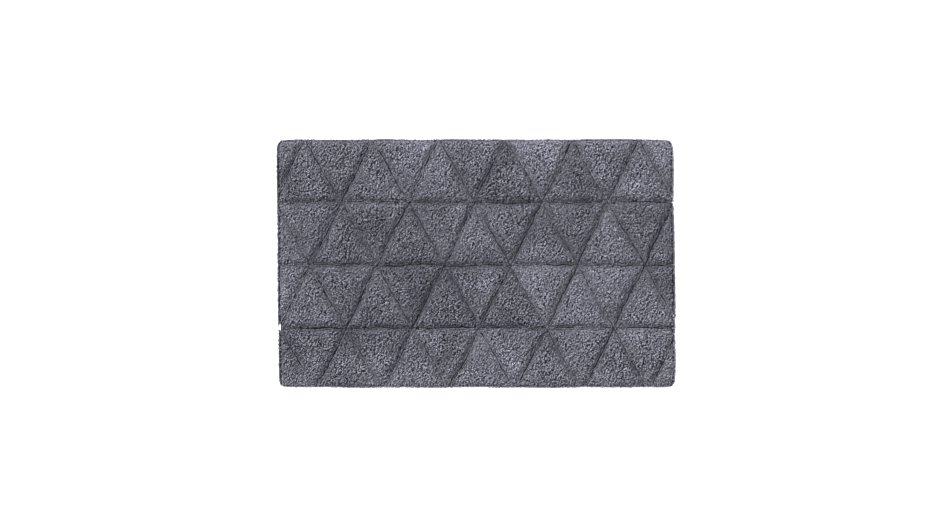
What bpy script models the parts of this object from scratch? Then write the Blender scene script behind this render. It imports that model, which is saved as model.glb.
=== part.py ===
"""Tufted cotton bath mat with a triangle relief pattern.

The frame: +X runs along the mat's long side, +Y from its front edge to its back edge and +Z up out of
the pile. The origin is under the middle of the mat, on the surface it lies on. Sizes are in metres.
"""

import math

import bmesh
import bpy

# The whole mat
MAT_LENGTH = 0.795
MAT_WIDTH = 0.500
OFF_SQUARE = 0.005  # how far the front edge lies to the right of the back edge
CORNER_RADIUS = 0.009
CORNER_STEPS = 5

# Layers, from the bottom up
HEM_THICKNESS = 0.0018
COAT_THICKNESS = 0.0010
CLOTH_THICKNESS = 0.0012
PILE_HEIGHT = 0.0168
LAYER_GAP = 0.0003  # air between layers and between neighbouring pieces
SHORTEST_SIDE = 0.0002  # corners of an outline that lie closer than this are one corner

# The turned hem and its seam
HEM_WIDTH = 0.018
THREAD_WIDTH = 0.0008
THREAD_HEIGHT = 0.0007

# The care label
LABEL_LENGTH = 0.045
LABEL_WIDTH = 0.028
LABEL_THICKNESS = 0.0004
LABEL_FROM_RIGHT = 0.110  # from the mat's right edge to the label's middle
LABEL_CLEARANCE = 0.0001  # least gap from the floor to the label

# The triangle pattern
TRIANGLES = 6  # full triangles side by side along the mat
ROWS = 4
END_OVERRUN = 0.0075  # how far the pattern would run past each short edge
FRONT_OVERRUN = 0.008  # how far it would run past the front edge
PATTERN_SHIFT = 0.0020  # the pattern's middle, right of the mat's middle
ROW_DRIFT = 0.004  # how far each groove line lies to the right of the one behind it

# The islands of pile
GROOVE_WIDTH = 0.005
SHEARED_SLOPE = 0.018  # width of the band that slopes down to a groove
SHOULDER_HEIGHT = 0.0100  # height of the pile at the groove's edge
EDGE_ROUND = 0.006  # width of the rounded band at the mat's own edges
EDGE_SHOULDER_HEIGHT = 0.0110
PILE_SETBACK = 0.0010  # from the ground cloth's edge to the pile

# Levels that follow from the layers: the cloth lies on the hem, or on the coat and label if those are thicker
COAT_TOP = max(HEM_THICKNESS, COAT_THICKNESS + LAYER_GAP + LABEL_THICKNESS + LABEL_CLEARANCE)
CLOTH_BOTTOM = COAT_TOP + LAYER_GAP
CLOTH_TOP = CLOTH_BOTTOM + CLOTH_THICKNESS
PILE_BOTTOM = CLOTH_TOP + LAYER_GAP

# Colour (linear), roughness
FINISHES = {
    "pile": ((0.127, 0.128, 0.155), 0.95),
    "ground_cloth": ((0.110, 0.110, 0.130), 0.90),
    "latex": ((0.560, 0.545, 0.500), 0.60),
    "thread": ((0.160, 0.160, 0.190), 0.70),
    "label": ((0.800, 0.790, 0.760), 0.75),
}


def finish(name):
    """Returns the named material, which it makes on first use."""
    if name in bpy.data.materials:
        return bpy.data.materials[name]
    colour, roughness = FINISHES[name]
    material = bpy.data.materials.new(name)
    material.use_nodes = True
    shader = material.node_tree.nodes["Principled BSDF"]
    shader.inputs["Base Color"].default_value = (*colour, 1.0)
    shader.inputs["Roughness"].default_value = roughness
    shader.inputs["Metallic"].default_value = 0.0
    return material


# A half-plane is (nx, ny, reach): the points whose distance along the unit normal is at most reach.


def clipped(polygon, half_plane):
    """The part of a convex polygon that lies in the half-plane."""
    nx, ny, reach = half_plane
    kept = []
    for here, after in zip(polygon, polygon[1:] + polygon[:1]):
        a = here[0] * nx + here[1] * ny - reach
        b = after[0] * nx + after[1] * ny - reach
        if a <= 0:
            kept.append(here)
        if (a < 0 < b) or (b < 0 < a):
            share = a / (a - b)
            kept.append((here[0] + share * (after[0] - here[0]), here[1] + share * (after[1] - here[1])))
    return kept


def mat_edges(inset):
    """Half-planes of the mat's outline, this far inside it, with its rounded corners."""
    half_length = MAT_LENGTH / 2 - inset
    half_width = MAT_WIDTH / 2 - inset
    radius = max(CORNER_RADIUS - inset, 0.0)
    steps = CORNER_STEPS if radius > 0 else 1
    planes = []
    for quarter in range(4):
        turn = quarter * math.pi / 2
        reach = half_length if quarter % 2 == 0 else half_width
        planes.append((math.cos(turn), math.sin(turn), reach))
        for step in range(1, steps):
            angle = turn + step * math.pi / 2 / CORNER_STEPS
            nx, ny = math.cos(angle), math.sin(angle)
            corner = abs(nx) * (half_length - radius) + abs(ny) * (half_width - radius)
            planes.append((nx, ny, corner + radius))
    return planes


def outline(inset, further=()):
    """The mat's outline this far inside its edge, cut by any further half-planes."""
    x, y = MAT_LENGTH, MAT_WIDTH
    polygon = [(-x, -y), (x, -y), (x, y), (-x, y)]
    for plane in (*mat_edges(inset), *further):
        polygon = clipped(polygon, plane)
    return [
        corner
        for corner, before in zip(polygon, polygon[-1:] + polygon[:-1])
        if math.dist(corner, before) > SHORTEST_SIDE
    ]


def off_square(x, y):
    """Where a point of the square layout lies on the real mat, which is a little out of square."""
    return x - OFF_SQUARE * y / MAT_WIDTH, y


def add_piece(name, mesh_maker, material):
    """Makes a named object from a function that fills its mesh, and pulls it off square as the mat is."""
    shape = bmesh.new()
    mesh_maker(shape)
    for vertex in shape.verts:
        vertex.co.x, vertex.co.y = off_square(vertex.co.x, vertex.co.y)
    bmesh.ops.recalc_face_normals(shape, faces=shape.faces)
    mesh = bpy.data.meshes.new(name)
    shape.to_mesh(mesh)
    shape.free()
    piece = bpy.data.objects.new(name, mesh)
    piece.data.materials.append(finish(material))
    bpy.context.collection.objects.link(piece)


def slab(polygon, bottom, top):
    """A maker for a flat slab of this outline."""

    def fill(shape):
        corners = [shape.verts.new((x, y, bottom)) for x, y in polygon]
        base = shape.faces.new(corners)
        raised = bmesh.ops.extrude_face_region(shape, geom=[base])["geom"]
        moved = [item for item in raised if isinstance(item, bmesh.types.BMVert)]
        bmesh.ops.translate(shape, verts=moved, vec=(0, 0, top - bottom))

    return fill


def ring(outer, inner, bottom, top):
    """A maker for a flat ring between two outlines with the same number of points."""

    def fill(shape):
        loops = [
            [shape.verts.new((x, y, z)) for x, y in polygon]
            for polygon, z in ((outer, bottom), (outer, top), (inner, top), (inner, bottom))
        ]
        for first, second in zip(loops, loops[1:] + loops[:1]):
            for i in range(len(first)):
                j = (i + 1) % len(first)
                shape.faces.new((first[i], first[j], second[j], second[i]))

    return fill


def groove_line(line):
    """The corners of the triangles on a groove line, left to right; line 0 is the mat's back edge."""
    pitch = (MAT_LENGTH + 2 * END_OVERRUN) / TRIANGLES
    row_depth = (MAT_WIDTH + FRONT_OVERRUN) / ROWS
    middle = PATTERN_SHIFT + ROW_DRIFT * (line - ROWS / 2)
    y = MAT_WIDTH / 2 - line * row_depth
    count = TRIANGLES + 2 if line % 2 == 0 else TRIANGLES + 1
    return [(middle + (i - (count - 1) / 2) * pitch, y) for i in range(count)]


def row_triangles(row):
    """The triangles of one row, left to right, each as three corners."""
    zigzag = sorted(groove_line(row) + groove_line(row + 1))
    return list(zip(zigzag, zigzag[1:], zigzag[2:]))


def beyond_mat(corner):
    """Whether a corner of the pattern lies on or past the mat's back or front edge."""
    return abs(corner[1]) > MAT_WIDTH / 2 - SHORTEST_SIDE


def groove_edges(corners, inset):
    """Half-planes of a triangle's sides that are grooves, this far inside them."""
    middle_x = sum(x for x, _ in corners) / 3
    middle_y = sum(y for _, y in corners) / 3
    planes = []
    for start, end in zip(corners, corners[1:] + corners[:1]):
        if beyond_mat(start) and beyond_mat(end):
            continue
        length = math.dist(start, end)
        nx, ny = (end[1] - start[1]) / length, (start[0] - end[0]) / length
        if (middle_x - start[0]) * nx + (middle_y - start[1]) * ny > 0:
            nx, ny = -nx, -ny
        planes.append((nx, ny, start[0] * nx + start[1] * ny - inset))
    return planes


def sheared_inset(height):
    """How far the pile at this height stands back from the middle of a groove."""
    share = (height - SHOULDER_HEIGHT) / (PILE_HEIGHT - SHOULDER_HEIGHT)
    return GROOVE_WIDTH / 2 + SHEARED_SLOPE * max(share, 0.0)


def edge_inset(height):
    """How far the pile at this height stands back from the mat's own edge."""
    share = (height - EDGE_SHOULDER_HEIGHT) / (PILE_HEIGHT - EDGE_SHOULDER_HEIGHT)
    return PILE_SETBACK + EDGE_ROUND * max(share, 0.0)


def pile_island(corners):
    """A maker for one island of pile: upright at its foot, then sloping up to a flat crown."""

    def fill(shape):
        for height in (0.0, SHOULDER_HEIGHT, EDGE_SHOULDER_HEIGHT, PILE_HEIGHT):
            cut = groove_edges(corners, sheared_inset(height))
            for x, y in outline(edge_inset(height), cut):
                shape.verts.new((x, y, PILE_BOTTOM + height))
        hull = bmesh.ops.convex_hull(shape, input=shape.verts)
        inside = hull["geom_interior"] + hull["geom_unused"]
        points = [item for item in set(inside) if isinstance(item, bmesh.types.BMVert)]
        bmesh.ops.delete(shape, geom=points, context="VERTS")

    return fill


def build_pile():
    """The islands of pile, row 1 at the back edge, each row numbered from the left."""
    for row in range(ROWS):
        for number, corners in enumerate(row_triangles(row), start=1):
            add_piece(f"pile_row{row + 1}_{number:02d}", pile_island(corners), "pile")


def build_ground_cloth():
    """The woven cloth that carries the tufts."""
    add_piece("ground_cloth", slab(outline(0.0), CLOTH_BOTTOM, CLOTH_TOP), "ground_cloth")


def coat_inset():
    """From the mat's edge to the latex coat, past the hem and its seam thread."""
    return HEM_WIDTH + LAYER_GAP + THREAD_WIDTH + LAYER_GAP


def build_latex_coat():
    """The coat on the back, which locks the tufts and grips the floor."""
    bottom = COAT_TOP - COAT_THICKNESS
    add_piece("latex_coat", slab(outline(coat_inset()), bottom, COAT_TOP), "latex")


def mitre_planes(side):
    """Half-planes that cut one side's strip out of the hem: its inner edge and its two mitres."""
    turn = side * math.pi / 2
    out_x, out_y = math.cos(turn), math.sin(turn)
    along_x, along_y = -out_y, out_x
    halves = (MAT_LENGTH / 2, MAT_WIDTH / 2)
    half_out, half_along = halves if side % 2 == 0 else halves[::-1]
    planes = [(-out_x, -out_y, HEM_WIDTH - half_out)]
    for way in (-1, 1):
        nx = (way * along_x - out_x) / math.sqrt(2)
        ny = (way * along_y - out_y) / math.sqrt(2)
        planes.append((nx, ny, (half_along - half_out) / math.sqrt(2) - LAYER_GAP / 2))
    return planes


def build_hem():
    """The cloth turned under at the four sides, mitred at the corners. The mat rests on it."""
    for side, name in enumerate(("hem_right", "hem_back", "hem_left", "hem_front")):
        add_piece(name, slab(outline(0.0, mitre_planes(side)), 0.0, HEM_THICKNESS), "ground_cloth")


def build_hem_thread():
    """The seam thread along the hem's inner edge."""
    start = HEM_WIDTH + LAYER_GAP
    loops = [outline(inset) for inset in (start, start + THREAD_WIDTH)]
    bottom = HEM_THICKNESS - THREAD_HEIGHT
    add_piece("hem_thread", ring(*loops, bottom, HEM_THICKNESS), "thread")


def build_care_label():
    """A blank woven label on the back, its short end at the front hem's seam."""
    middle = MAT_LENGTH / 2 - LABEL_FROM_RIGHT
    front = coat_inset() - MAT_WIDTH / 2
    left, right = middle - LABEL_WIDTH / 2, middle + LABEL_WIDTH / 2
    polygon = [(left, front), (right, front), (right, front + LABEL_LENGTH), (left, front + LABEL_LENGTH)]
    top = COAT_TOP - COAT_THICKNESS - LAYER_GAP
    add_piece("care_label", slab(polygon, top - LABEL_THICKNESS, top), "label")


def main():
    for item in list(bpy.data.objects):
        bpy.data.objects.remove(item, do_unlink=True)
    build_hem()
    build_hem_thread()
    build_care_label()
    build_latex_coat()
    build_ground_cloth()
    build_pile()


main()
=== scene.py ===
"""Looks of a tufted cotton bath mat: cut pile sheared into triangles, on a hemmed, latex-backed cloth.

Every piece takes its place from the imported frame. Lengths are in metres, with +Z up out of the pile.
"""

import math

import bpy
import numpy as np
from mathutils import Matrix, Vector, noise


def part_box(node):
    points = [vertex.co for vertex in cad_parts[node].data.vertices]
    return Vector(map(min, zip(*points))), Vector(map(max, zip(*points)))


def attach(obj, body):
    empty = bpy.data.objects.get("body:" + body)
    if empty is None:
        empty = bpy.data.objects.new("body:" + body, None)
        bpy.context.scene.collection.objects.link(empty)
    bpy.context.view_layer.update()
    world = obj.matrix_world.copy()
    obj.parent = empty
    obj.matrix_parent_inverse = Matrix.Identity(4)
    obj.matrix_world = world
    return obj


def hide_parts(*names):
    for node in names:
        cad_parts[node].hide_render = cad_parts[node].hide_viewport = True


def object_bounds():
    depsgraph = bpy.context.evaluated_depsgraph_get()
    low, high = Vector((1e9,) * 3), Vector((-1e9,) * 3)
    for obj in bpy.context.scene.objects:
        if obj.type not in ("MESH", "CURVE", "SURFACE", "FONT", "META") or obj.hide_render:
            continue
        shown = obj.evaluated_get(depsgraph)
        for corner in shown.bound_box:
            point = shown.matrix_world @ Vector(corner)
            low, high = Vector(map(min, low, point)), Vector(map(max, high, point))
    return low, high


bl_info = {
    "name": "Tufted Bath Mat",
    "version": (1, 0, 0),
    "blender": (4, 5, 0),
    "location": "3D View > Sidebar > Bath Mat",
    "description": "Plants the pile of a bath mat and makes its cloth, hem, coat, label and stage",
    "category": "Add Mesh",
}

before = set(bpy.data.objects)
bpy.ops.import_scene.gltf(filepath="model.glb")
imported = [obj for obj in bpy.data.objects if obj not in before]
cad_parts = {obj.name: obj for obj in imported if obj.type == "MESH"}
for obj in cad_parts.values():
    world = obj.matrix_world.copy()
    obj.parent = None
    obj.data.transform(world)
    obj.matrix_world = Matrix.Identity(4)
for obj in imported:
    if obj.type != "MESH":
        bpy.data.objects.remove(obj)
CAD_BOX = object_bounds()

BODY = "root"
PILE_NODES = sorted(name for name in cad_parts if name.startswith("pile_"))
HEM_SIDES = {  # which way each hem strip faces, as the outward x and y of its side
    "hem_front": (0, -1),
    "hem_back": (0, 1),
    "hem_left": (-1, 0),
    "hem_right": (1, 0),
}
FLAT = 0.02  # a CAD face counts as upright if its normal rises by less than this
LEVEL = 0.0001  # CAD points belong to the foot if they are this near its level
OUTER_SLACK = 0.0005  # a wall is the pile's own edge if the pile reaches no further past it than this
SIDEWAYS = 0.9  # an edge wall is at the mat's left or right if its normal's x is more than this
TINY = 1e-9  # keeps a division clear of nought
WAVE_SPACING = math.pi / 10  # a wave node's bands are this far apart at scale 1

# ---------------------------------------------------------------------------------------------------
# Settings
# ---------------------------------------------------------------------------------------------------


def length(name, description, default):
    """A length property, in metres."""
    return bpy.props.FloatProperty(
        name=name, description=description, default=default, precision=5, unit="LENGTH"
    )


def share(name, description, default):
    """A plain number property, such as a share or a ratio."""
    return bpy.props.FloatProperty(name=name, description=description, default=default, precision=3)


def angle(name, description, degrees):
    """An angle property, written in degrees and kept in radians."""
    return bpy.props.FloatProperty(
        name=name, description=description, default=math.radians(degrees), subtype="ANGLE"
    )


def hex_colour(name, description, default):
    """A colour property, written as an sRGB hex value."""
    return bpy.props.StringProperty(name=name, description=description, default=default, maxlen=6)


class MatPileSettings(bpy.types.PropertyGroup):
    """The tufts: how close they stand, how they are cut and how they lie."""

    spacing: length("Tuft spacing", "From one tuft to the next", 0.0027)
    radius: length("Tuft radius", "Radius of a tuft where its cut end blooms", 0.0015)
    stretch: share("Tuft stretch", "How much longer than wide a cut end is", 1.8)
    cut_tilt: share("Cut tilt", "How far a cut end tilts with the sheared slope", 0.12)
    rim_tilt: share("Rim tilt", "How far a cut end tilts with the rounding at the mat's edge", 0.9)
    border_step: length("Border step", "From one tuft to the next along a groove", 0.0021)
    rim_step: length("Rim step", "From one tuft to the next along the mat's own edge", 0.0013)
    body_step: length("Body step", "From one point to the next on the packed yarn below", 0.0055)
    border_inset: length("Border inset", "From an island's foot to its outermost tufts", 0.0004)
    groove_splay: length("Groove splay", "How far the tufts beside a groove lean into it", 0.0010)
    groove_vary: share("Groove variation", "How much a groove closes here and opens there", 1.1)
    groove_end: length("Groove end", "How far tufts lean to close a groove's end at the edge", 0.0036)
    side_splay: length("Side splay", "How far the tufts at the mat's left and right edges lean out", 0.0058)
    end_splay: length("End splay", "How far the tufts at the mat's front and back edges lean out", 0.0016)
    shear_width: length("Shear width", "How far the sheared slope reaches from a groove", 0.014)
    shear_drop: length("Shear drop", "How far the pile drops at a groove", 0.0070)
    nap_share: share("Nap share", "How much deeper the shears cut where the nap hangs over", 0.35)
    nap: angle("Nap direction", "Where the pile's nap leans, turned from +X", -58)
    shear_curve: share("Shear curve", "How much steeper the slope is beside the groove", 1.6)
    edge_width: length("Edge width", "How far the rounding reaches from the mat's own edge", 0.020)
    edge_drop: length("Edge drop", "How far the pile drops at the mat's own edge", 0.0065)
    edge_curve: share("Edge curve", "How much steeper the rounding is beside the edge", 2.6)
    crown_rough: length("Crown roughness", "How unevenly the tufts stand on a crown", 0.0014)
    slope_rough: length("Slope roughness", "How unevenly the sheared tufts stand", 0.0009)
    deepest: length("Deepest", "How far below its neighbours a tuft may be cut", 0.0034)
    tallest: length("Tallest", "How far above its neighbours a tuft may stand", 0.0020)
    crown_cover: length("Crown cover", "How deep one sees between the tufts on a crown", 0.0050)
    slope_cover: length("Slope cover", "How deep one sees between the sheared tufts", 0.0036)
    swell: length("Swell", "How far the crowns rise and fall across the mat", 0.0008)
    sway: length("Sway", "How far the grooves and edges wander from straight lines", 0.0046)
    waver: length("Waver", "How far the shears waver within a few centimetres", 0.0020)
    corner_pull: length("Corner pull", "How far the pile draws in at the mat's corners", 0.0030)
    lean: share("Lean", "How far a tuft leans, as a share of its height", 0.10)
    # Partly the tufts' random tone, partly painted shade on the low tufts and painted light on the tall
    # ones.
    tone_spread: share("Tone spread", "How much the tufts differ in tone", 0.64)
    contrast: share("Contrast", "How unlike the tufts across the nap a tuft is", 1.5)
    combed: share("Combed", "How like the tufts along the nap a tuft is", 0.7)
    comb: angle("Comb direction", "Which way the cut ends are drawn out, turned from +X", 64)
    comb_spread: share("Comb spread", "How unevenly the cut ends line up with the nap, in radians", 0.45)
    tip_close: share("Tip closing", "How much further the tufts at an island's tip lean out", 1.6)
    # Painted shade: the darker tufts are drawn further from the usual tone than the paler ones.
    tone_sink: share("Tone sink", "How much more the shaded tufts differ than the bright ones", 0.30)
    grain_spread: share("Grain spread", "How much coarser some patches of pile look", 0.4)
    # Painted shade: the tufts on the sheared slopes beside the grooves are painted darker.
    painted_slope_shade: share("Slope shade", "How much darker the short, less bloomed tufts look", 0.15)
    # Painted light: the tufts are painted paler towards the mat's front and back.
    rim_painted_light: share("Rim tone", "How much paler the painted_light front and back of the mat look", 0.22)
    patch_spread: share("Patch spread", "How much whole islands differ in tone", 0.10)
    seed: bpy.props.IntProperty(name="Seed", description="Start of the random draws", default=7)
    tip_colour: hex_colour("Tip colour", "Cotton at the cut ends", "82828D")
    # Painted shade: the yarn is painted darker down between the tufts, where shade falls.
    painted_root_shade_colour: hex_colour("Root colour", "Cotton down between the tufts", "3F404C")


class MatBackSettings(bpy.types.PropertyGroup):
    """The cloth, its hem and what is on the back."""

    thread_pitch: length("Thread pitch", "From one thread of the cloth to the next", 0.0011)
    fold_cloth: length("Hem cloth", "Thickness of the cloth that is folded into the hem", 0.0008)
    stitch_length: length("Stitch length", "Length of one stitch of the hem's seam", 0.0042)
    pucker: share("Pucker", "How much the seam squeezes the hem", 0.16)
    mitre_gap: length("Mitre gap", "Gap at the hem's mitred corners", 0.0003)
    stitch_row: length("Back stitch row", "From one row of back stitches to the next", 0.0033)
    stitch_depth: length("Back stitch depth", "How far a row of back stitches stands out", 0.00035)
    label_curl: length("Label curl", "How far the care label lifts at its free end", 0.00012)
    cloth_colour: hex_colour("Cloth colour", "The woven ground cloth and hem", "5F606C")
    latex_colour: hex_colour("Latex colour", "The coat on the back", "CFCABD")
    thread_colour: hex_colour("Thread colour", "The seam thread", "777886")
    label_colour: hex_colour("Label colour", "The blank care label", "E8E5DC")


class MatStageSettings(bpy.types.PropertyGroup):
    """The floor, the lights and the camera."""

    floor_size: length("Floor size", "Length of the floor's sides", 12.0)
    floor_colour: hex_colour("Floor colour", "The plain floor", "F4F4F3")
    floor_glow: share("Floor glow", "Light that comes up through the opal floor", 1.0)
    key_strength: share("Key strength", "Irradiance of the key light", 3.2)
    key_height: angle("Key height", "Angle of the key light above the floor", 44)
    key_from: angle("Key direction", "Where the key light comes from, turned from +X", 122)
    key_size: angle("Key size", "How wide the key light looks from the mat", 14)
    sky_strength: share("Sky strength", "Light from all round", 0.55)
    lens_mm: share("Lens", "Focal length in millimetres", 85.0)
    view_width: length("View width", "How much of the floor the picture takes in", 1.897)
    aside: length("Aside", "How far the camera stands left of the mat's middle", 0.0123)
    ahead: length("Ahead", "How far the camera stands behind the mat's middle", 0.0150)


def linear(hex_value):
    """An sRGB hex colour as linear RGBA."""
    parts = [int(hex_value[i : i + 2], 16) / 255 for i in (0, 2, 4)]
    return (*(c / 12.92 if c <= 0.04045 else ((c + 0.055) / 1.055) ** 2.4 for c in parts), 1.0)


# ---------------------------------------------------------------------------------------------------
# Materials
# ---------------------------------------------------------------------------------------------------


def new_material(name):
    """A new material, with its node tree and its shader."""
    material = bpy.data.materials.new(name)
    material.use_nodes = True
    tree = material.node_tree
    return material, tree, tree.nodes["Principled BSDF"]


def set_inputs(tree, node, inputs):
    """Gives a node's inputs, by their name or number, a value or the output socket that feeds them."""
    for key, value in inputs.items():
        if isinstance(value, bpy.types.NodeSocket):
            tree.links.new(value, node.inputs[key])
        else:
            node.inputs[key].default_value = value


def add_node(tree, kind, settings=None, inputs=None):
    """Adds a node with its own settings and its inputs, and returns it."""
    node = tree.nodes.new(kind)
    for key, value in (settings or {}).items():
        setattr(node, key, value)
    set_inputs(tree, node, inputs or {})
    return node


def shaded(tree, colour, *patterns):
    """A colour, made darker and paler by each pattern in turn.

    A pattern is an output, the lowest and highest of its values that count, and their two shades.
    """
    for output, low, high, darkest, palest in patterns:
        shade = add_node(tree, "ShaderNodeMapRange", {}, {
            "Value": output, "From Min": low, "From Max": high, "To Min": darkest, "To Max": palest})
        colour = add_node(tree, "ShaderNodeVectorMath", {"operation": "SCALE"}, {
            0: colour, "Scale": shade.outputs[0]}).outputs[0]
    return colour


def cotton_pile(settings):
    """Reactive-dyed cotton yarn, cut and bloomed: matt, soft, each tuft with a tone of its own and painted
    shade at its root.

    The plies show as flecks about 2 mm wide at the cut ends, painted shade and painted light. The fibres
    are 0.02 mm thick, too fine to show, so a streak 0.5 mm wide stands in for them. A wide cloud is painted
    light and shade where the nap was brushed over.
    """
    material, tree, shader = new_material("cotton_cut_pile")
    place = add_node(tree, "ShaderNodeTexCoord").outputs["Object"]
    # The tone brings each tuft's random tone with its painted shade and painted light.
    tone = add_node(tree, "ShaderNodeAttribute", {"attribute_name": "tone"}).outputs["Fac"]
    tip = add_node(tree, "ShaderNodeAttribute", {"attribute_name": "tip"}).outputs["Fac"]
    # Painted shade: the yarn darkens towards its root, down between the tufts.
    up = add_node(tree, "ShaderNodeMapRange", {"interpolation_type": "SMOOTHSTEP"},
                  {"Value": tip, "From Min": 0.35, "From Max": 1.0}).outputs[0]
    # Of a colour mix's inputs, 0 is the share and 6 and 7 are the two colours.
    yarn = add_node(tree, "ShaderNodeMix", {"data_type": "RGBA"}, {
        0: up, 6: linear(settings.painted_root_shade_colour), 7: linear(settings.tip_colour)}).outputs[2]
    # Painted light and shade: flecks about 2 mm wide on the cut ends, from far darker to paler.
    plies = add_node(tree, "ShaderNodeTexNoise", {"noise_dimensions": "3D"}, {
        "Vector": place, "Scale": 1 / 0.0020, "Detail": 1.0, "Roughness": 0.7}).outputs["Fac"]
    # Painted light and shade: patches several centimetres wide, as brushed-over nap shows them.
    cloud = add_node(tree, "ShaderNodeTexNoise", {"noise_dimensions": "3D"}, {
        "Vector": place, "Scale": 1 / 0.080, "Detail": 3.0, "Roughness": 0.6}).outputs["Fac"]
    drawn_out = add_node(tree, "ShaderNodeMapping", {}, {
        "Vector": place, "Scale": (1.0, 1.0, 0.1)}).outputs[0]
    fibres = add_node(tree, "ShaderNodeTexNoise", {}, {
        "Vector": drawn_out, "Scale": 1 / 0.0005, "Detail": 2.0, "Roughness": 0.6}).outputs["Fac"]
    toned = add_node(tree, "ShaderNodeVectorMath", {"operation": "SCALE"}, {
        0: yarn, "Scale": tone}).outputs[0]
    colour = shaded(tree, toned, (plies, 0.28, 0.57, 0.12, 1.36), (fibres, 0.3, 0.7, 0.72, 1.22),
                    (cloud, 0.3, 0.7, 0.74, 1.24))
    bump = add_node(tree, "ShaderNodeBump", {}, {"Height": fibres, "Strength": 0.6, "Distance": 0.0004})
    set_inputs(tree, shader, {
        "Base Color": colour, "Normal": bump.outputs[0], "Roughness": 0.92,
        "Specular IOR Level": 0.15, "Sheen Weight": 0.12, "Sheen Roughness": 0.5})
    return material


def woven_cloth(settings):
    """Plain-woven cotton and polyester cloth, piece-dyed: matt, its threads 1.1 mm apart."""
    material, tree, shader = new_material("plain_woven_polycotton")
    place = add_node(tree, "ShaderNodeTexCoord").outputs["Object"]
    scale = WAVE_SPACING / settings.thread_pitch
    threads = [
        add_node(tree, "ShaderNodeTexWave", {"wave_type": "BANDS", "bands_direction": axis}, {
            "Vector": place, "Scale": scale, "Distortion": 0.6, "Detail": 1.0}).outputs["Fac"]
        for axis in ("X", "Y")
    ]
    weave = add_node(tree, "ShaderNodeMath", {"operation": "MULTIPLY"}, {
        0: threads[0], 1: threads[1]}).outputs[0]
    slub = add_node(tree, "ShaderNodeTexNoise", {}, {
        "Vector": place, "Scale": 1 / 0.006, "Detail": 3.0, "Roughness": 0.6}).outputs["Fac"]
    colour = shaded(tree, linear(settings.cloth_colour)[:3],
                    (weave, 0.0, 1.0, 0.72, 1.18), (slub, 0.3, 0.7, 0.88, 1.12))
    bump = add_node(tree, "ShaderNodeBump", {}, {"Height": weave, "Strength": 0.7, "Distance": 0.0003})
    set_inputs(tree, shader, {
        "Base Color": colour, "Normal": bump.outputs[0], "Roughness": 0.88,
        "Specular IOR Level": 0.25, "Sheen Weight": 0.1})
    return material


def latex_foam(settings):
    """Styrene-butadiene latex, spread on wet and cured: rubbery, cream, pitted by its bubbles.

    The bubbles are 0.2 mm wide; the pits are drawn 1.2 mm wide, which is as fine as shows.
    """
    material, tree, shader = new_material("styrene_butadiene_latex_coat")
    place = add_node(tree, "ShaderNodeTexCoord").outputs["Object"]
    pits = add_node(tree, "ShaderNodeTexVoronoi", {"feature": "F1"}, {
        "Vector": place, "Scale": 1 / 0.0012}).outputs["Distance"]
    cloud = add_node(tree, "ShaderNodeTexNoise", {}, {
        "Vector": place, "Scale": 1 / 0.05, "Detail": 4.0, "Roughness": 0.6}).outputs["Fac"]
    stitches = add_node(tree, "ShaderNodeTexWave", {"wave_type": "BANDS", "bands_direction": "X"}, {
        "Vector": place, "Scale": WAVE_SPACING / settings.stitch_length, "Distortion": 3.0,
        "Detail": 1.0, "Detail Scale": 2.0}).outputs["Fac"]
    colour = shaded(tree, linear(settings.latex_colour)[:3],
                    (cloud, 0.3, 0.7, 0.84, 1.06), (stitches, 0.0, 1.0, 0.90, 1.04))
    knots = add_node(tree, "ShaderNodeBump", {}, {"Height": stitches, "Strength": 0.5, "Distance": 0.0004})
    bump = add_node(tree, "ShaderNodeBump", {}, {
        "Height": pits, "Normal": knots.outputs[0], "Strength": 0.35, "Distance": 0.0002})
    rough = add_node(tree, "ShaderNodeMapRange", {}, {
        "Value": cloud, "From Min": 0.3, "From Max": 0.7, "To Min": 0.5, "To Max": 0.72}).outputs[0]
    set_inputs(tree, shader, {
        "Base Color": colour, "Roughness": rough, "Normal": bump.outputs[0], "IOR": 1.52})
    return material


def spun_thread(settings):
    """Spun polyester sewing thread of three plies: a slight gloss, with the plies' twist along it."""
    material, tree, shader = new_material("spun_polyester_thread")
    place = add_node(tree, "ShaderNodeTexCoord").outputs["Object"]
    turned = add_node(tree, "ShaderNodeMapping", {}, {
        "Vector": place, "Rotation": (0.0, 0.0, math.radians(35))}).outputs[0]
    twist = add_node(tree, "ShaderNodeTexWave", {"wave_type": "BANDS", "bands_direction": "X"}, {
        "Vector": turned, "Scale": WAVE_SPACING / 0.0009, "Distortion": 0.4}).outputs["Fac"]
    colour = shaded(tree, linear(settings.thread_colour)[:3], (twist, 0.0, 1.0, 0.74, 1.15))
    bump = add_node(tree, "ShaderNodeBump", {}, {"Height": twist, "Strength": 0.6, "Distance": 0.0002})
    set_inputs(tree, shader, {
        "Base Color": colour, "Normal": bump.outputs[0], "Roughness": 0.55, "Sheen Weight": 0.15})
    return material


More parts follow.
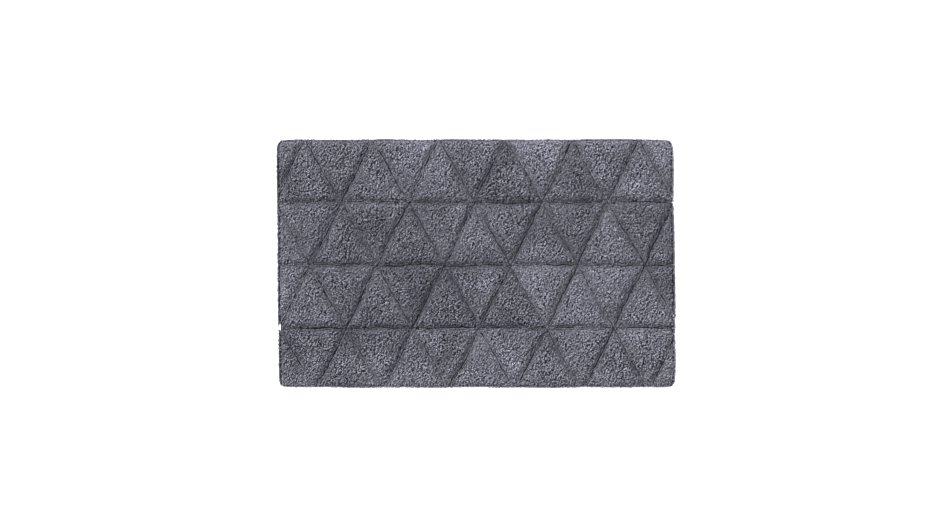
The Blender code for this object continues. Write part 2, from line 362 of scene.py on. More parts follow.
def satin_tape(settings):
    """Polyester satin label tape, woven: smooth and a little glossy, with fine cross ribs.

    The ribs are 0.2 mm apart; they are drawn 0.6 mm apart, which is as fine as shows.
    """
    material, tree, shader = new_material("polyester_satin_tape")
    place = add_node(tree, "ShaderNodeTexCoord").outputs["Object"]
    ribs = add_node(tree, "ShaderNodeTexWave", {"wave_type": "BANDS", "bands_direction": "Y"}, {
        "Vector": place, "Scale": WAVE_SPACING / 0.0006, "Distortion": 0.2}).outputs["Fac"]
    cloud = add_node(tree, "ShaderNodeTexNoise", {}, {
        "Vector": place, "Scale": 1 / 0.008, "Detail": 2.0}).outputs["Fac"]
    colour = shaded(tree, linear(settings.label_colour)[:3],
                    (ribs, 0.0, 1.0, 0.92, 1.03), (cloud, 0.3, 0.7, 0.95, 1.02))
    bump = add_node(tree, "ShaderNodeBump", {}, {"Height": ribs, "Strength": 0.3, "Distance": 0.0001})
    set_inputs(tree, shader, {
        "Base Color": colour, "Normal": bump.outputs[0], "Roughness": 0.38, "Sheen Weight": 0.1})
    return material


# ---------------------------------------------------------------------------------------------------
# Finished pieces
# ---------------------------------------------------------------------------------------------------


def deselect():
    """Leaves nothing selected, so that an operator acts on the next new shape alone."""
    bpy.ops.object.select_all(action="DESELECT")


def finish_piece(piece, name, material, nodes):
    """Names a piece, gives it its finish and puts it in the place of its CAD nodes."""
    piece.name = name
    piece.data.name = name
    piece.data.materials.clear()
    piece.data.materials.append(material)
    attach(piece, BODY)
    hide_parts(*nodes)


def mesh_from(name, points, triangles, floats):
    """A smooth-shaded triangle mesh with its point attributes, each one number a point."""
    mesh = bpy.data.meshes.new(name)
    mesh.vertices.add(len(points))
    mesh.vertices.foreach_set("co", points.astype(np.float32).ravel())
    mesh.loops.add(triangles.size)
    mesh.loops.foreach_set("vertex_index", triangles.astype(np.int32).ravel())
    mesh.polygons.add(len(triangles))
    mesh.polygons.foreach_set("loop_start", np.arange(0, triangles.size, 3, dtype=np.int32))
    mesh.update(calc_edges=True)
    mesh.polygons.foreach_set("use_smooth", np.ones(len(triangles), bool))
    for key, values in floats.items():
        layer = mesh.attributes.new(key, "FLOAT", "POINT")
        layer.data.foreach_set("value", values.astype(np.float32).ravel())
    mesh.validate()
    return mesh


def read_mesh(mesh):
    """A mesh's points and triangles as arrays."""
    mesh.calc_loop_triangles()
    points = np.empty(len(mesh.vertices) * 3, np.float32)
    mesh.vertices.foreach_get("co", points)
    triangles = np.empty(len(mesh.loop_triangles) * 3, np.int32)
    mesh.loop_triangles.foreach_get("vertices", triangles)
    return points.reshape(-1, 3).astype(float), triangles.reshape(-1, 3)


# ---------------------------------------------------------------------------------------------------
# The pile
# ---------------------------------------------------------------------------------------------------

# Smooth fields over the mat: the size of each one's patches, and the layer of noise it is cut from.
COARSE_FIELD = (0.028, 91.3)
SWELL_FIELD = (0.05, 3.7)
LEAN_FIELDS = ((0.035, 11.3), (0.035, 29.1))
SWAY_FIELDS = ((0.075, 51.7), (0.075, 73.1))
WAVER_FIELDS = ((0.014, 17.3), (0.014, 23.9))
GROOVE_FIELDS = ((0.07, 133.7), (0.015, 151.9))

# Where the tufts stand.
ROW_JITTER = 0.2  # as a share of the step along a row
ROW_STRAY = 0.0002  # how far a tuft strays from its row
STRAY_INSET = 0.6  # how near a strayed tuft may come to the foot's edge, in border insets
GRID_JITTER = 0.36  # as a share of the spacing
GRID_INSET = 0.6  # how near the grid comes to the rows, in spacings
BODY_INSET = 1.5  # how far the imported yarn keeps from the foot's edge, in border insets
BODY_RINGS = 6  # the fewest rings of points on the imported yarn
BODY_TIP, FOOT_TIP = 0.85, 0.3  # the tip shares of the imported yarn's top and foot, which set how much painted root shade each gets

# How the tufts differ. Beside a wall they lean and differ less, so that its line stays clean.
ODDEST = 2.5  # how far a tuft may differ from the usual one, in standard deviations
CROWN_COARSE, COARSE_FALL = 1.12, 0.55  # how coarse the grain is on a crown, and how much less on a slope
OWN_LIFT, LOOSE_LIFT = 0.6, 0.8  # how much of a tuft's height goes with its tone, which so carries painted shade on the low tufts, and how much doesn't
LOOSE_LEAN = 0.8  # how far a tuft leans its own way, as a share of the usual lean
WALL_LEAN, WALL_TONE = 0.06, 0.35  # the shares of their lean and their tone that are left beside a wall
BLOOM = (0.74, 1.16)  # the least and the greatest radius of a tuft, as shares of the usual one
BEND = 1.5  # a tuft bends over as this power of the way up it
TONES = (0.06, 2.2)  # the darkest and the brightest tone
SLOPE_SHADE_CURVE, RIM_LIGHT_CURVE = 1.5, 3  # how late the painted shade of the slopes and the painted light of the rims set in
FALL_BLEND = 3  # how sharply the falls towards two walls meet

# How the tufts beside a wall lean over it, and how the pile wanders.
SPLAY_ROWS, SPLAY_CURVE = 2.5, 1.5  # how many spacings in from the wall, and how fast it fades there
SLANT = 0.1  # the least slant of a groove to the mat's edge that closing its end allows for
END_REACH = 0.006  # how far in from the mat's edge a groove's end is closed
EDGE_HOLD, EDGE_REACH = 0.7, 0.025  # how much steadier the mat's edge is, and how far in that holds
CORNER_REACH = 0.016  # how far along the edge a corner draws the pile in


class Island:
    """One island of pile, as its CAD solid gives it: its foot's corners and upright walls."""

    def __init__(self, node, reach_of_pile):
        points, triangles = read_mesh(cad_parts[node].data)
        low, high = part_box(node)
        self.bottom, self.top = low.z, high.z
        a, b, c = (points[triangles[:, i]] for i in range(3))
        normals = np.cross(b - a, c - a)
        normals /= np.linalg.norm(normals, axis=1)[:, None]
        upright = np.abs(normals[:, 2]) < FLAT
        planes = np.column_stack([normals[upright, :2], (normals * a).sum(1)[upright]])
        self.walls = np.unique(planes.round(5), axis=0)
        self.outer = np.array([reach_of_pile(n) - n[2] < OUTER_SLACK for n in self.walls])
        self.side = self.outer & (np.abs(self.walls[:, 0]) > SIDEWAYS)
        foot = np.unique(points[points[:, 2] < low.z + LEVEL, :2].round(5), axis=0)
        middle = foot.mean(0)
        turn = np.arctan2(foot[:, 1] - middle[1], foot[:, 0] - middle[0])
        self.corners = foot[np.argsort(turn)]

    def depths(self, places):
        """How far inside each wall each place lies."""
        return self.walls[:, 2] - places @ self.walls[:, :2].T

    def pulled_in(self, places, inset):
        """The places, each moved to lie at least this far inside every wall."""
        for _ in range(3):
            short = np.clip(inset - self.depths(places), 0, None)
            worst = short.argmax(1)
            step = short[np.arange(len(places)), worst]
            places = places - self.walls[worst, :2] * step[:, None]
        return places


def pile_reach():
    """A function that says how far the whole pile reaches along a wall's normal."""
    points = np.concatenate([read_mesh(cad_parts[n].data)[0][:, :2] for n in PILE_NODES])
    return lambda wall: float((points @ wall[:2]).max())


def model_tuft(stretch):
    """Models one tuft of unit height and radius: a yarn that blooms towards its cut end and rounds off."""
    root = 0.75  # the yarn's radius down at the cloth
    deselect()
    bpy.ops.mesh.primitive_circle_add(vertices=5, radius=root, fill_type="NGON", location=(0, 0, 0))
    tuft = bpy.context.object
    bpy.ops.object.mode_set(mode="EDIT")
    bpy.ops.mesh.select_all(action="SELECT")
    for step, size, turn in ((0.91, 1 / root, 30), (0.06, 0.70, 0)):
        bpy.ops.mesh.extrude_region_move(TRANSFORM_OT_translate={"value": (0, 0, step)})
        bpy.ops.transform.resize(value=(size, size, 1), center_override=(0, 0, 0))
        bpy.ops.transform.rotate(value=math.radians(turn), orient_axis="Z", center_override=(0, 0, 0))
    bpy.ops.mesh.poke(offset=0.03)
    bpy.ops.mesh.select_all(action="SELECT")
    bpy.ops.transform.resize(value=(stretch**0.5, stretch**-0.5, 1), center_override=(0, 0, 0))
    bpy.ops.mesh.normals_make_consistent(inside=False)
    bpy.ops.object.mode_set(mode="OBJECT")
    points, triangles = read_mesh(tuft.data)
    bpy.data.objects.remove(tuft, do_unlink=True)
    return points, triangles


def field(places, scale, layer):
    """A smooth field of values from about -1 to 1 over the mat; scale is the size of its patches."""
    return np.array([noise.noise(Vector((x / scale, y / scale, layer))) for x, y in places])


def drift(places, fields):
    """Smooth moves in x and in y over the mat, from two fields."""
    return np.column_stack([field(places, *each) for each in fields])


def pile_grain(settings, draws):
    """A function that gives each place a random value, like its neighbours' along the nap alone."""
    high = CAD_BOX[1]
    pitch, row = settings.spacing, settings.spacing * math.sqrt(3) / 2
    half = [math.ceil(high[0] / pitch) + 2, 2 * math.ceil(high[1] / row / 2) + 2]
    grain = draws.normal(0, 1, (2 * half[0], 2 * half[1]))
    odd = np.arange(2 * half[1]) % 2 == 1
    up, down = np.roll(grain, -1, 1), np.roll(grain, 1, 1)
    along = np.where(odd, np.roll(up, -1, 0), up) + np.where(odd, down, np.roll(down, 1, 0))
    across = np.where(odd, up, np.roll(up, 1, 0)) + np.where(odd, np.roll(down, -1, 0), down)
    across += np.roll(grain, 1, 0) + np.roll(grain, -1, 0)
    grain = grain + settings.combed * along / 2 - settings.contrast * across / 4
    grain /= grain.std()

    def value(places):
        line = np.rint(places[:, 1] / row).astype(int)
        column = np.rint(places[:, 0] / pitch - 0.5 * (line % 2)).astype(int)
        return grain[column + half[0], line + half[1]]

    return value


def tuft_places(island, settings, draws):
    """Where the tufts of an island stand: a row along its foot, and a jittered grid within it.

    The second array is the same, with the grid's tufts where they stood before the jitter.
    """
    border = []
    corners = island.corners
    for start, end in zip(corners, np.roll(corners, -1, axis=0)):
        run = np.linalg.norm(end - start)
        wall = np.abs(island.depths(((start + end) / 2)[None])[0]).argmin()
        step = settings.rim_step if island.outer[wall] else settings.border_step
        count = max(1, round(run / step))
        along = (np.arange(count) + 0.5 + draws.uniform(-ROW_JITTER, ROW_JITTER, count)) / count
        border.append(start + (end - start) * along[:, None])
    border = island.pulled_in(np.concatenate(border), settings.border_inset)
    border = border + draws.normal(0, ROW_STRAY, border.shape)
    border = island.pulled_in(border, settings.border_inset * STRAY_INSET)
    pitch, row = settings.spacing, settings.spacing * math.sqrt(3) / 2
    low, high = corners.min(0), corners.max(0)
    rows = np.arange(math.floor(low[1] / row), math.ceil(high[1] / row) + 1)
    columns = np.arange(math.floor(low[0] / pitch) - 1, math.ceil(high[0] / pitch) + 1)
    column, line = np.meshgrid(columns, rows)
    grid = np.column_stack([((column + 0.5 * (line % 2)) * pitch).ravel(), (line * row).ravel()])
    moved = grid + draws.uniform(-GRID_JITTER, GRID_JITTER, grid.shape) * pitch
    inside = island.depths(moved).min(1) > settings.border_inset + GRID_INSET * pitch
    return np.concatenate([border, moved[inside]]), np.concatenate([border, grid[inside]])


def pile_surface(island, places, settings):
    """The height of the cut pile at each place, and how near each lies to a sheared slope (0 to 1)."""
    depths = np.clip(island.depths(places), 0, None)
    width = np.where(island.outer, settings.edge_width, settings.shear_width)
    nap = island.walls[:, :2] @ np.array([math.cos(settings.nap), math.sin(settings.nap)])
    shear = settings.shear_drop * (1 + settings.nap_share * nap)
    drop = np.where(island.outer, settings.edge_drop, shear)
    nearness = np.clip(1 - depths / width, 0, 1)
    fall = drop * nearness ** np.where(island.outer, settings.edge_curve, settings.shear_curve)
    total = (fall**FALL_BLEND).sum(1) ** (1 / FALL_BLEND)
    return island.top - total, nearness.max(1)


def wander(places, settings):
    """The places, moved as the hand-guided shears and the soft cloth move grooves and edges."""
    low, high = CAD_BOX
    half = np.array([high[0] - low[0], high[1] - low[1]]) / 2
    moves = drift(places, SWAY_FIELDS) * settings.sway + drift(places, WAVER_FIELDS) * settings.waver
    to_edge = half - np.abs(places)
    free = 1 - EDGE_HOLD * np.exp(-to_edge.min(1).clip(0) / EDGE_REACH)
    moves *= free[:, None]
    near_corner = np.exp(-to_edge.sum(1).clip(0) / CORNER_REACH)
    inward = -np.sign(places) * settings.corner_pull * near_corner[:, None]
    return places + moves + inward


def ring_triangles(rings, around):
    """The triangles of a closed stack of rings, whose first and last points are its two poles."""
    step = np.arange(around)
    after = (step + 1) % around
    found = [np.column_stack([np.zeros(around, int), 1 + step, 1 + after])]
    for ring in range(rings - 1):
        here, there = 1 + ring * around, 1 + (ring + 1) * around
        found.append(np.column_stack([here + step, there + step, there + after]))
        found.append(np.column_stack([here + step, there + after, here + after]))
    last, pole = 1 + (rings - 1) * around, 1 + rings * around
    found.append(np.column_stack([last + step, np.full(around, pole), last + after]))
    return np.concatenate(found)


def packed_yarn(island, settings):
    """The closed body of packed yarn below an island's tuft ends: points, triangles and tip shares."""
    corners = island.corners
    loop = []
    for start, end in zip(corners, np.roll(corners, -1, axis=0)):
        count = max(1, round(np.linalg.norm(end - start) / settings.body_step))
        loop.append(start + (end - start) * (np.arange(count) / count)[:, None])
    loop = island.pulled_in(np.concatenate(loop), settings.border_inset * BODY_INSET)
    middle = corners.mean(0)
    rings = max(BODY_RINGS, round(np.linalg.norm(loop - middle, axis=1).max() / settings.body_step))
    flat = [middle + (loop - middle) * (i + 1) / rings for i in range(rings)]
    flat = np.concatenate([middle[None], *flat])
    surface, sheared = pile_surface(island, flat, settings)
    cover = settings.crown_cover + (settings.slope_cover - settings.crown_cover) * sheared
    z = surface - cover
    foot = np.full(len(loop), island.bottom)
    points = np.concatenate([
        np.column_stack([flat, z]),
        np.column_stack([loop, foot]),
        [[*middle, island.bottom]],
    ])
    tips = np.concatenate([np.full(len(flat), BODY_TIP), np.full(len(loop) + 1, FOOT_TIP)])
    return points, ring_triangles(rings + 1, len(loop)), tips


def splayed(island, places, settings):
    """How far each tuft's end is pushed over the mat's edge or into a groove, and its way to that edge."""
    depths = island.depths(places)
    normals = island.walls[:, :2]
    nearness = np.clip(1 - depths / (settings.spacing * SPLAY_ROWS), 0, 1) ** SPLAY_CURVE
    to_groove = nearness * ~island.outer
    to_edge = nearness * island.outer

    outward = to_edge * np.where(island.side, settings.side_splay, settings.end_splay)
    over_edge = at_most(outward @ normals, outward.max(1))

    open_here = sum(field(places, *each) for each in GROOVE_FIELDS)
    inward = to_groove * settings.groove_splay * (1 + settings.groove_vary * open_here)[:, None]
    at_tip = np.sort(to_groove, 1)[:, -2:-1]  # more than nought only where two grooves are near
    inward = inward * (1 + settings.tip_close * at_tip)
    into_groove = at_most(inward @ normals, np.abs(inward).max(1))

    # At the mat's edge a groove is closed by pushes along that edge, each as long as its slant asks for.
    rims = np.where(island.outer, depths, np.inf)
    beside, out = rims.min(1), normals[rims.argmin(1)]
    along = normals[None] - (out @ normals.T)[:, :, None] * out[:, None, :]
    along *= settings.groove_end / np.maximum((along**2).sum(2), SLANT)[:, :, None]
    closing = along * to_groove[:, :, None]
    shut = at_most(closing.sum(1), np.linalg.norm(closing, axis=2).max(1))
    end = np.exp(-beside / END_REACH)[:, None]
    return over_edge + into_groove * (1 - end) + shut * end, beside


def at_most(moves, limits):
    """The moves, each cut down to its limit."""
    return moves * np.minimum(limits / np.maximum(np.linalg.norm(moves, axis=1), TINY), 1)[:, None]


def tuft_tones(places, own, coarse, sheared, within, patch, settings):
    """Each tuft's tone: its island's and its own, with painted shade on the low tufts and on the slopes and
    painted light at the front and back.
    """
    # A tuft's random tone, skewed dark as painted shade on the tufts that stand low.
    own_tone_and_shade = (own - settings.tone_sink * (own**2 - 1)) * (WALL_TONE + (1 - WALL_TONE) * within)
    tone = (1 + patch + settings.tone_spread * coarse * own_tone_and_shade).clip(*TONES)
    # Painted shade on the sheared slopes beside the grooves.
    tone *= 1 - settings.painted_slope_shade * sheared**SLOPE_SHADE_CURVE
    # Painted light: the tufts are painted paler towards the front and back of the mat.
    return tone * (1 + settings.rim_painted_light * (np.abs(places[:, 1]) / CAD_BOX[1][1]) ** RIM_LIGHT_CURVE)


def stand_tufts(island, points, places, own, coarse, sheared, within, settings, draws):
    """The x, y and z of every tuft's points, a row for each tuft: turned, leaned and cut to height."""
    count = len(places)
    rough = (settings.crown_rough + (settings.slope_rough - settings.crown_rough) * sheared) * coarse
    lift = (OWN_LIFT * own + LOOSE_LIFT * draws.normal(0, 1, count)) * rough
    lift = np.clip(lift, -settings.deepest, settings.tallest)
    lift += settings.swell * field(places, *SWELL_FIELD)
    lean = drift(places, LEAN_FIELDS) * settings.lean
    lean = lean + draws.normal(0, settings.lean * LOOSE_LEAN, (count, 2))
    lean *= (WALL_LEAN + (1 - WALL_LEAN) * within)[:, None]
    turn = settings.comb + draws.normal(0, settings.comb_spread, count)
    radius = settings.radius * draws.uniform(*BLOOM, count)
    cos, sin = np.cos(turn)[:, None], np.sin(turn)[:, None]
    spread_x = (points[:, 0] * cos - points[:, 1] * sin) * radius[:, None]
    spread_y = (points[:, 0] * sin + points[:, 1] * cos) * radius[:, None]
    height = island.top - island.bottom
    push, beside = splayed(island, places, settings)
    reach = lean * height + push
    bent = points[:, 2] ** BEND
    x = places[:, :1] + spread_x + reach[:, :1] * bent
    y = places[:, 1:] + spread_y + reach[:, 1:] * bent
    surface, _ = pile_surface(island, np.column_stack([x.ravel(), y.ravel()]), settings)
    surface = surface.reshape(x.shape)
    level = surface.mean(1, keepdims=True)
    rim = np.clip(1 - beside / settings.edge_width, 0, 1)[:, None]
    tilt = settings.cut_tilt + (settings.rim_tilt - settings.cut_tilt) * rim
    cut = level + tilt * (surface - level) + lift[:, None]
    return x, y, island.bottom + points[:, 2] * (cut - island.bottom)


def plant_island(node, island, tuft, material, settings, draws, grain):
    """Plants one island: its tufts are copies of the modelled one, on a body of packed yarn."""
    points, triangles = tuft
    places, stations = tuft_places(island, settings, draws)
    count = len(places)
    _, sheared = pile_surface(island, places, settings)
    within = np.clip(island.depths(places).min(1) / settings.spacing, 0, 1)
    own = grain(stations).clip(-ODDEST, ODDEST)
    coarse = 1 + settings.grain_spread * field(places, *COARSE_FIELD) * 2
    coarse *= CROWN_COARSE - COARSE_FALL * sheared
    stood = stand_tufts(island, points, places, own, coarse, sheared, within, settings, draws)
    patch = settings.patch_spread * draws.normal()
    tone = tuft_tones(places, own, coarse, sheared, within, patch, settings)
    body_points, body_triangles, body_tips = packed_yarn(island, settings)
    all_points = np.concatenate([np.stack(stood, axis=2).reshape(-1, 3), body_points])
    all_points[:, :2] = wander(all_points[:, :2], settings)
    copies = (triangles[None] + (np.arange(count) * len(points))[:, None, None]).reshape(-1, 3)
    all_triangles = np.concatenate([copies, body_triangles + count * len(points)])
    # The tone carries each tuft's random tone with its painted light and shade.
    floats = {
        "tone": np.concatenate([np.repeat(tone, len(points)), np.full(len(body_points), 1 + patch)]),
        "tip": np.concatenate([np.tile(points[:, 2], count), body_tips]),
    }
    name = node.replace("pile", "tufts")
    piece = bpy.data.objects.new(name, mesh_from(name, all_points, all_triangles, floats))
    bpy.context.scene.collection.objects.link(piece)
    finish_piece(piece, name, material, [node])


class MAT_OT_pile(bpy.types.Operator):
    """Plants the cotton tufts on every island of pile"""

    bl_idname = "bath_mat.pile"
    bl_label = "Plant Pile"

    def execute(self, context):
        settings = context.scene.bath_mat_pile
        draws = np.random.default_rng(settings.seed)
        tuft = model_tuft(settings.stretch)
        material = cotton_pile(settings)
        reach = pile_reach()
        grain = pile_grain(settings, draws)
        for node in PILE_NODES:
            plant_island(node, Island(node, reach), tuft, material, settings, draws, grain)
        return {"FINISHED"}


# ---------------------------------------------------------------------------------------------------
# The cloth and the back
# ---------------------------------------------------------------------------------------------------


class Outline:
    """The mat's outline, as the CAD cloth gives it: half its size, its corners' radius and its skew."""

    def __init__(self):
        points, _ = read_mesh(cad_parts["ground_cloth"].data)
        back = points[points[:, 1] > 0]
        front = points[points[:, 1] < 0]
        high, low = back[back[:, 0].argmax()], front[front[:, 0].argmax()]
        self.half_width = points[:, 1].max()
        self.skew = (high[0] - low[0]) / (high[1] - low[1])
        self.half_length = high[0] - self.skew * high[1]
        self.radius = self.half_width - high[1]

    def rounded(self, x, y):
        """Places on a plain rectangle of the mat's size, moved to its rounded and skewed outline."""
        over_x = np.abs(x) - (self.half_length - self.radius)
        over_y = np.abs(y) - (self.half_width - self.radius)
        far = np.maximum(np.hypot(over_x, over_y), TINY)
        corner = (over_x > 0) & (over_y > 0)
        squeeze = np.where(corner, np.maximum(over_x, over_y) / far, 1)
        x = np.where(corner, np.sign(x) * (self.half_length - self.radius + over_x * squeeze), x)
        y = np.where(corner, np.sign(y) * (self.half_width - self.radius + over_y * squeeze), y)
        return x + self.skew * y, y


def model_slab(columns, rows, shape):
    """Models a thin closed slab of so many columns and rows, and bends it to shape.

    shape takes each point's place across, along (-1 to 1) and through (0 or 1), and gives x, y and z.
    """
    deselect()
    bpy.ops.mesh.primitive_grid_add(x_subdivisions=columns, y_subdivisions=rows, size=2, location=(0, 0, 0))
    slab = bpy.context.object
    bpy.ops.object.mode_set(mode="EDIT")
    bpy.ops.mesh.select_all(action="SELECT")
    bpy.ops.mesh.extrude_region_move(TRANSFORM_OT_translate={"value": (0, 0, 1)})
    bpy.ops.object.mode_set(mode="OBJECT")
    points, _ = read_mesh(slab.data)
    moved = np.column_stack(shape(*points.T))
    slab.data.vertices.foreach_set("co", moved.astype(np.float32).ravel())
    bpy.ops.object.mode_set(mode="EDIT")
    bpy.ops.mesh.select_all(action="SELECT")
    bpy.ops.mesh.normals_make_consistent(inside=False)
    bpy.ops.mesh.faces_shade_smooth()
    bpy.ops.object.mode_set(mode="OBJECT")
    return slab


def crowded(across):
    """Even steps from -1 to 1, drawn closer together towards both ends."""
    return np.sin(across * math.pi / 2)


class MAT_OT_cloth(bpy.types.Operator):
    """Makes the woven ground cloth that the tufts are stitched through"""

    bl_idname = "bath_mat.cloth"
    bl_label = "Weave Ground Cloth"

    def execute(self, context):
        mat = Outline()
        low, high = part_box("ground_cloth")
        soft, thinning = 0.0015, 0.5  # how far in from its edge the cloth thins, and how much

        def shape(across, along, through):
            flat_x, flat_y = crowded(across) * mat.half_length, crowded(along) * mat.half_width
            rim = np.minimum(mat.half_length - np.abs(flat_x), mat.half_width - np.abs(flat_y))
            full = 1 - thinning * np.exp(-rim / soft)
            x, y = mat.rounded(flat_x, flat_y)
            middle = (low.z + high.z) / 2
            return x, y, middle + (through - 0.5) * (high.z - low.z) * full

        cloth = model_slab(columns=96, rows=72, shape=shape)
        material = woven_cloth(context.scene.bath_mat_back)
        finish_piece(cloth, "woven_ground_cloth", material, ["ground_cloth"])
        return {"FINISHED"}


class MAT_OT_hem(bpy.types.Operator):
    """Folds the four hem strips and mitres them at the corners"""

    bl_idname = "bath_mat.hem"
    bl_label = "Fold Hem"

    def execute(self, context):
        settings = context.scene.bath_mat_back
        material = woven_cloth(settings)
        mat = Outline()
        front_low, front_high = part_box("hem_front")
        width = front_high.y - front_low.y
        for name, (out_x, out_y) in HEM_SIDES.items():
            low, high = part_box(name)
            thick = high.z - low.z
            half_run = mat.half_width if out_x else mat.half_length
            half_out = mat.half_length if out_x else mat.half_width
            bend = thick / 2  # the fold's outer radius
            leg = width - bend

            def shape(along, around, through):
                side = bend + (through - 1) * settings.fold_cloth
                turn = np.clip(around * 2, -1, 1) * math.pi / 2
                reach = np.clip(np.abs(around) * 2 - 1, 0, 1) * leg
                inset = bend - side * np.cos(turn) + reach
                run = along * (half_run - inset - settings.mitre_gap / 2)
                held = 0.5 + 0.5 * np.cos(2 * math.pi * run / settings.stitch_length)
                press = 1 - settings.pucker * held * np.clip(inset / width, 0, 1) ** 3
                z = high.z - (thick - bend - side * np.sin(turn)) * press
                flat_x = out_x * (half_out - inset) + (run if out_y else 0)
                flat_y = out_y * (half_out - inset) + (run if out_x else 0)
                return (*mat.rounded(flat_x, flat_y), z)

            columns = 2 * round(2 * half_run / settings.stitch_length)
            strip = model_slab(columns, rows=16, shape=shape)
            finish_piece(strip, name.replace("hem", "folded_hem"), material, [name])
        return {"FINISHED"}


class MAT_OT_thread(bpy.types.Operator):
    """Sews the hem down with a row of stitches all round"""

    bl_idname = "bath_mat.thread"
    bl_label = "Sew Hem"

    def execute(self, context):
        settings = context.scene.bath_mat_back
        mat = Outline()
        low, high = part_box("hem_thread")
        points, _ = read_mesh(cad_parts["hem_thread"].data)
        outer = mat.half_width - high.y
        inner = mat.half_width - np.unique(np.abs(points[:, 1]).round(5))[0]
        stitch, triangles = self.model_stitch()
        inset = (outer + inner) / 2
        half = np.array([mat.half_length - inset, mat.half_width - inset])
        thick, tall = (inner - outer) / 2, (high.z - low.z) / 2
        copies = []
        for turn in range(4):
            half_run, half_out = half[turn % 2], half[(turn + 1) % 2]
            count = round(2 * half_run / settings.stitch_length)
            starts = (np.arange(count) + 0.5) / count * 2 * half_run - half_run
            run = starts[:, None] + stitch[:, 0] * 2 * half_run / count
            out = half_out + np.broadcast_to(stitch[:, 1] * thick, run.shape)
            z = high.z - tall + np.broadcast_to(stitch[:, 2] * tall, run.shape)
            flat_x, flat_y = [(run, -out), (out, run), (-run, out), (-out, -run)][turn]
            x = flat_x + mat.skew * flat_y
            copies.append(np.stack([x, flat_y, z], axis=2).reshape(-1, 3))
        all_points = np.concatenate(copies)
        steps = np.arange(len(all_points) // len(stitch)) * len(stitch)
        all_triangles = (triangles[None] + steps[:, None, None]).reshape(-1, 3)
        name = "seam_thread"
        piece = bpy.data.objects.new(name, mesh_from(name, all_points, all_triangles, {}))
        context.scene.collection.objects.link(piece)
        finish_piece(piece, name, spun_thread(settings), ["hem_thread"])
        return {"FINISHED"}

    def model_stitch(self):
        """Models one stitch a unit long: full in its middle, drawn in where it goes into the cloth."""
        deselect()
        bpy.ops.mesh.primitive_circle_add(
            vertices=6, radius=0.4, fill_type="NGON", location=(-0.5, 0, 0.5), rotation=(0, math.pi / 2, 0)
        )
        stitch = bpy.context.object
        bpy.ops.object.transform_apply(location=True, rotation=True, scale=True)
        bpy.ops.object.mode_set(mode="EDIT")
        bpy.ops.mesh.select_all(action="SELECT")
        for step, rise, size in ((0.22, -0.5, 2.5), (0.56, 0.0, 1.0), (0.22, 0.5, 0.4)):
            bpy.ops.mesh.extrude_region_move(TRANSFORM_OT_translate={"value": (step, 0, rise)})
            bpy.ops.transform.resize(value=(1, size, size))
        bpy.ops.mesh.select_all(action="SELECT")
        bpy.ops.mesh.normals_make_consistent(inside=False)
        bpy.ops.object.mode_set(mode="OBJECT")
        points, triangles = read_mesh(stitch.data)
        bpy.data.objects.remove(stitch, do_unlink=True)
        return points, triangles


class MAT_OT_coat(bpy.types.Operator):
    """Spreads the latex coat over the rows of back stitches"""

    bl_idname = "bath_mat.coat"
    bl_label = "Spread Latex Coat"

    def execute(self, context):
        settings = context.scene.bath_mat_back
        mat = Outline()
        low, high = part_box("latex_coat")
        inset = mat.half_width - high.y
        half_x, half_y = mat.half_length - inset, mat.half_width - inset
        ridges = round(2 * half_y / settings.stitch_row)
        soft, thinning = 0.0012, 0.4  # how far in from its edge the coat thins, and how much

        def shape(across, along, through):
            flat_x, flat_y = crowded(across) * half_x, along * half_y
            rim = np.minimum(half_x - np.abs(flat_x), half_y - np.abs(flat_y))
            wave = 0.5 + 0.5 * np.cos(math.pi * (along + 1) * ridges)
            thin = settings.stitch_depth * wave + thinning * (high.z - low.z) * np.exp(-rim / soft)
            z = np.where(through > 0.5, high.z, low.z + thin)
            return flat_x + mat.skew * flat_y, flat_y, z

        coat = model_slab(columns=32, rows=3 * ridges, shape=shape)
        finish_piece(coat, "back_latex_coat", latex_foam(settings), ["latex_coat"])
        return {"FINISHED"}


class MAT_OT_label(bpy.types.Operator):
    """Makes the blank care label"""

    bl_idname = "bath_mat.label"
    bl_label = "Make Care Label"

    def execute(self, context):
        settings = context.scene.bath_mat_back
        low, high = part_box("care_label")
        skew = Outline().skew
        width, run = (high.x - low.x) - abs(skew) * (high.y - low.y), high.y - low.y
        middle_x, middle_y = (low.x + high.x) / 2, (low.y + high.y) / 2
        narrowing = 0.012  # how much narrower the tape is at its ends

        def shape(across, along, through):
            flat_y = middle_y + along * run / 2
            half = width / 2 * (1 - narrowing * along**2)
            x = middle_x + across * half + skew * (flat_y - middle_y)
            free = np.clip((along + 1) / 2, 0, 1)
            curl = settings.label_curl * (free**2 * (0.5 + 0.5 * np.cos(across * math.pi)) - 0.5)
            return x, flat_y, low.z + through * (high.z - low.z) + curl

        label = model_slab(columns=14, rows=22, shape=shape)
        finish_piece(label, "blank_care_label", satin_tape(settings), ["care_label"])
        return {"FINISHED"}


# ---------------------------------------------------------------------------------------------------
# The stage
# ---------------------------------------------------------------------------------------------------


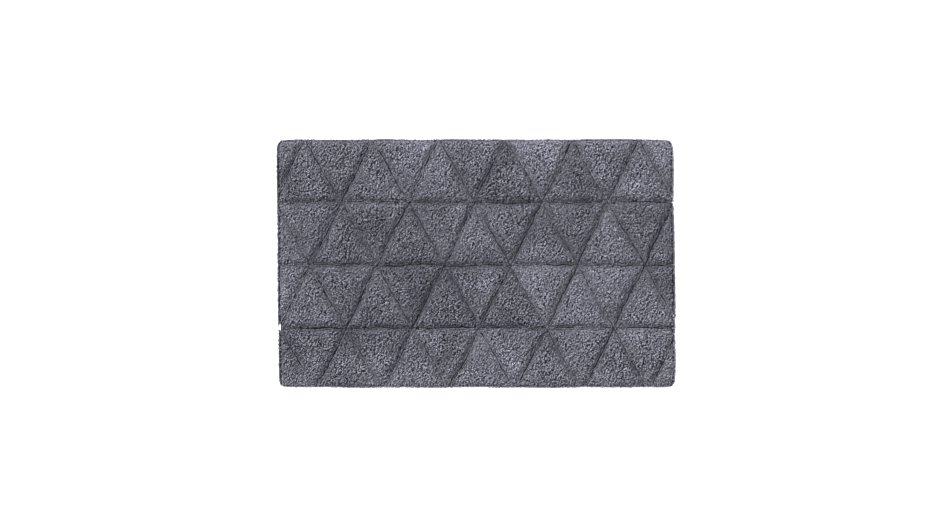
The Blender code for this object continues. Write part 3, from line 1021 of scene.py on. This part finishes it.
class MAT_OT_stage(bpy.types.Operator):
    """Makes the plain pale floor, the soft lights and the camera straight above the mat"""

    bl_idname = "bath_mat.stage"
    bl_label = "Set Stage"

    def execute(self, context):
        settings = context.scene.bath_mat_stage
        scene = context.scene
        deselect()
        bpy.ops.mesh.primitive_plane_add(size=settings.floor_size, location=(0, 0, 0))
        floor = context.object
        floor.name = "floor"
        material, tree, shader = new_material("opal_acrylic_light_table")
        set_inputs(tree, shader, {
            "Base Color": linear(settings.floor_colour), "Roughness": 1.0, "Specular IOR Level": 0.0,
            "Emission Color": (1, 1, 1, 1), "Emission Strength": settings.floor_glow})
        floor.data.materials.append(material)

        sun = bpy.data.lights.new("key", "SUN")
        sun.energy = settings.key_strength
        sun.angle = settings.key_size
        key = bpy.data.objects.new("key", sun)
        flat = math.cos(settings.key_height)
        towards = Vector((
            flat * math.cos(settings.key_from),
            flat * math.sin(settings.key_from),
            math.sin(settings.key_height),
        ))
        key.rotation_euler = towards.to_track_quat("Z", "Y").to_euler()
        scene.collection.objects.link(key)

        world = bpy.data.worlds.new("studio")
        world.use_nodes = True
        sky = {"Color": (1, 1, 1, 1), "Strength": settings.sky_strength}
        set_inputs(world.node_tree, world.node_tree.nodes["Background"], sky)
        scene.world = world
        scene.view_settings.view_transform = "Standard"

        low, high = CAD_BOX
        lens = bpy.data.cameras.new("camera")
        lens.lens = settings.lens_mm
        lens.sensor_width = 36.0
        camera = bpy.data.objects.new("camera", lens)
        distance = settings.view_width * lens.lens / lens.sensor_width
        camera.location = (
            (low[0] + high[0]) / 2 - settings.aside,
            (low[1] + high[1]) / 2 + settings.ahead,
            high[2] + distance,
        )
        scene.collection.objects.link(camera)
        scene.camera = camera
        return {"FINISHED"}


class MAT_PT_panel(bpy.types.Panel):
    """Lists the steps that make the mat"""

    bl_idname = "MAT_PT_panel"
    bl_label = "Bath Mat"
    bl_space_type = "VIEW_3D"
    bl_region_type = "UI"
    bl_category = "Bath Mat"

    def draw(self, context):
        for operator in OPERATORS:
            self.layout.operator(operator.bl_idname)


SETTINGS = {
    "bath_mat_pile": MatPileSettings,
    "bath_mat_back": MatBackSettings,
    "bath_mat_stage": MatStageSettings,
}
OPERATORS = (
    MAT_OT_stage,
    MAT_OT_pile,
    MAT_OT_cloth,
    MAT_OT_hem,
    MAT_OT_thread,
    MAT_OT_coat,
    MAT_OT_label,
)


def register():
    for group in (*SETTINGS.values(), *OPERATORS, MAT_PT_panel):
        bpy.utils.register_class(group)
    for name, group in SETTINGS.items():
        setattr(bpy.types.Scene, name, bpy.props.PointerProperty(type=group))


def unregister():
    for name in SETTINGS:
        delattr(bpy.types.Scene, name)
    for group in reversed((*SETTINGS.values(), *OPERATORS, MAT_PT_panel)):
        bpy.utils.unregister_class(group)


def main():
    register()
    for operator in OPERATORS:
        family, step = operator.bl_idname.split(".")
        getattr(getattr(bpy.ops, family), step)()


if __name__ == "__main__":
    main()
